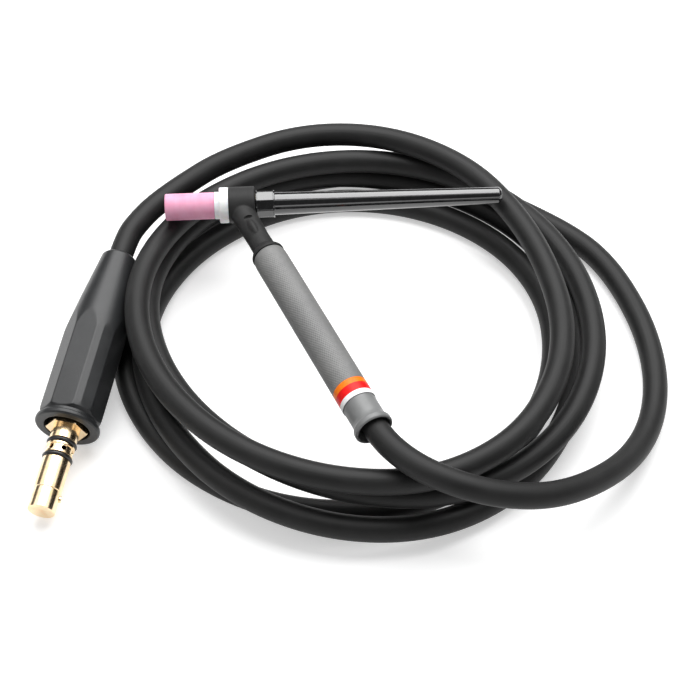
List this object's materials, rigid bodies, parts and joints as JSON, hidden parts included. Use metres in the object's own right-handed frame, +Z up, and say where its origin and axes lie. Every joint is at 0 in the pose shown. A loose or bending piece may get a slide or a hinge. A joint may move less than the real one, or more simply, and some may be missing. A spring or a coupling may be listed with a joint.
{
  "type": "tig torch",
  "caption": "Air-cooled tungsten arc welding torch with pink ceramic nozzle, long back cap, knurled handle, coiled black cable and a brass bayonet plug in a faceted boot.",
  "frame": {"origin": "middle of the gas nozzle's mouth", "axes": "+X along the torch axis from the nozzle's mouth to the back cap's end, +Z up, the handle and its cable lying towards -Y"},
  "size_m": [0.3839, 0.3167, 0.0714],
  "materials": {
    "nozzle_ceramic": "satin fired alumina, pink",
    "gasket_white": "smooth white PTFE",
    "head_rubber": "matte moulded silicone rubber",
    "brass": "bright turned brass",
    "copper": "drawn copper",
    "tungsten": "ground tungsten",
    "cap_black": "glossy moulded phenolic",
    "seal_black": "smooth rubber",
    "handle_grey": "fine diamond knurl",
    "band_orange": "printed ring, orange, red and white",
    "sleeve_grey": "smooth moulded",
    "cable_black": "smooth extruded rubber",
    "boot_charcoal": "moulded, faceted, soft sheen"
  },
  "bodies": {
    "torch": {"collet_body": "brass", "collet": "copper", "head_core": "brass", "head_insulator": "head_rubber", "neck_tube": "copper", "handle_grip": "handle_grey", "handle_band": "band_orange", "handle_rear_sleeve": "sleeve_grey", "neck_union": "brass", "union_nut": "brass", "cable_barb": "brass", "cable_in_handle": "cable_black", "cable_ferrule": "brass", "handle_lead": "cable_black", "cable_coil": "cable_black", "plug_lead": "cable_black", "cable_in_boot": "cable_black", "plug_ferrule": "brass", "plug_boot": "boot_charcoal", "plug_body": "brass", "bayonet_lug": "brass", "plug_seal_tip": "seal_black", "plug_seal_hex": "seal_black"},
    "gasket": {"nozzle_gasket": "gasket_white"},
    "nozzle": {"gas_nozzle": "nozzle_ceramic"},
    "electrode": {"tungsten_electrode": "tungsten"},
    "cap_seal": {"back_cap_seal": "seal_black"},
    "cap": {"back_cap": "cap_black"}
  },
  "joints": [
    {"name": "nozzle_slide", "type": "slide", "parent": "torch", "child": "gasket", "axis": [-1, 0, 0], "range_m": [0, 0.0096]},
    {"name": "nozzle_turn", "type": "hinge", "parent": "gasket", "child": "nozzle", "pos_m": [0, 0, 0], "axis": [-1, 0, 0], "range_deg": [0, 2160]},
    {"name": "electrode_slide", "type": "slide", "parent": "torch", "child": "electrode", "axis": [-1, 0, 0], "range_m": [-0.008, 0.02]},
    {"name": "back_cap_slide", "type": "slide", "parent": "torch", "child": "cap_seal", "axis": [1, 0, 0], "range_m": [0, 0.00848]},
    {"name": "back_cap_turn", "type": "hinge", "parent": "cap_seal", "child": "cap", "pos_m": [0.06, 0, 0], "axis": [1, 0, 0], "range_deg": [0, 2880]}
  ],
  "couplings": [
    {"joint": "nozzle_turn", "follows": "nozzle_slide", "rad_per_m": 3927},
    {"joint": "back_cap_turn", "follows": "back_cap_slide", "rad_per_m": 5927.5}
  ]
}
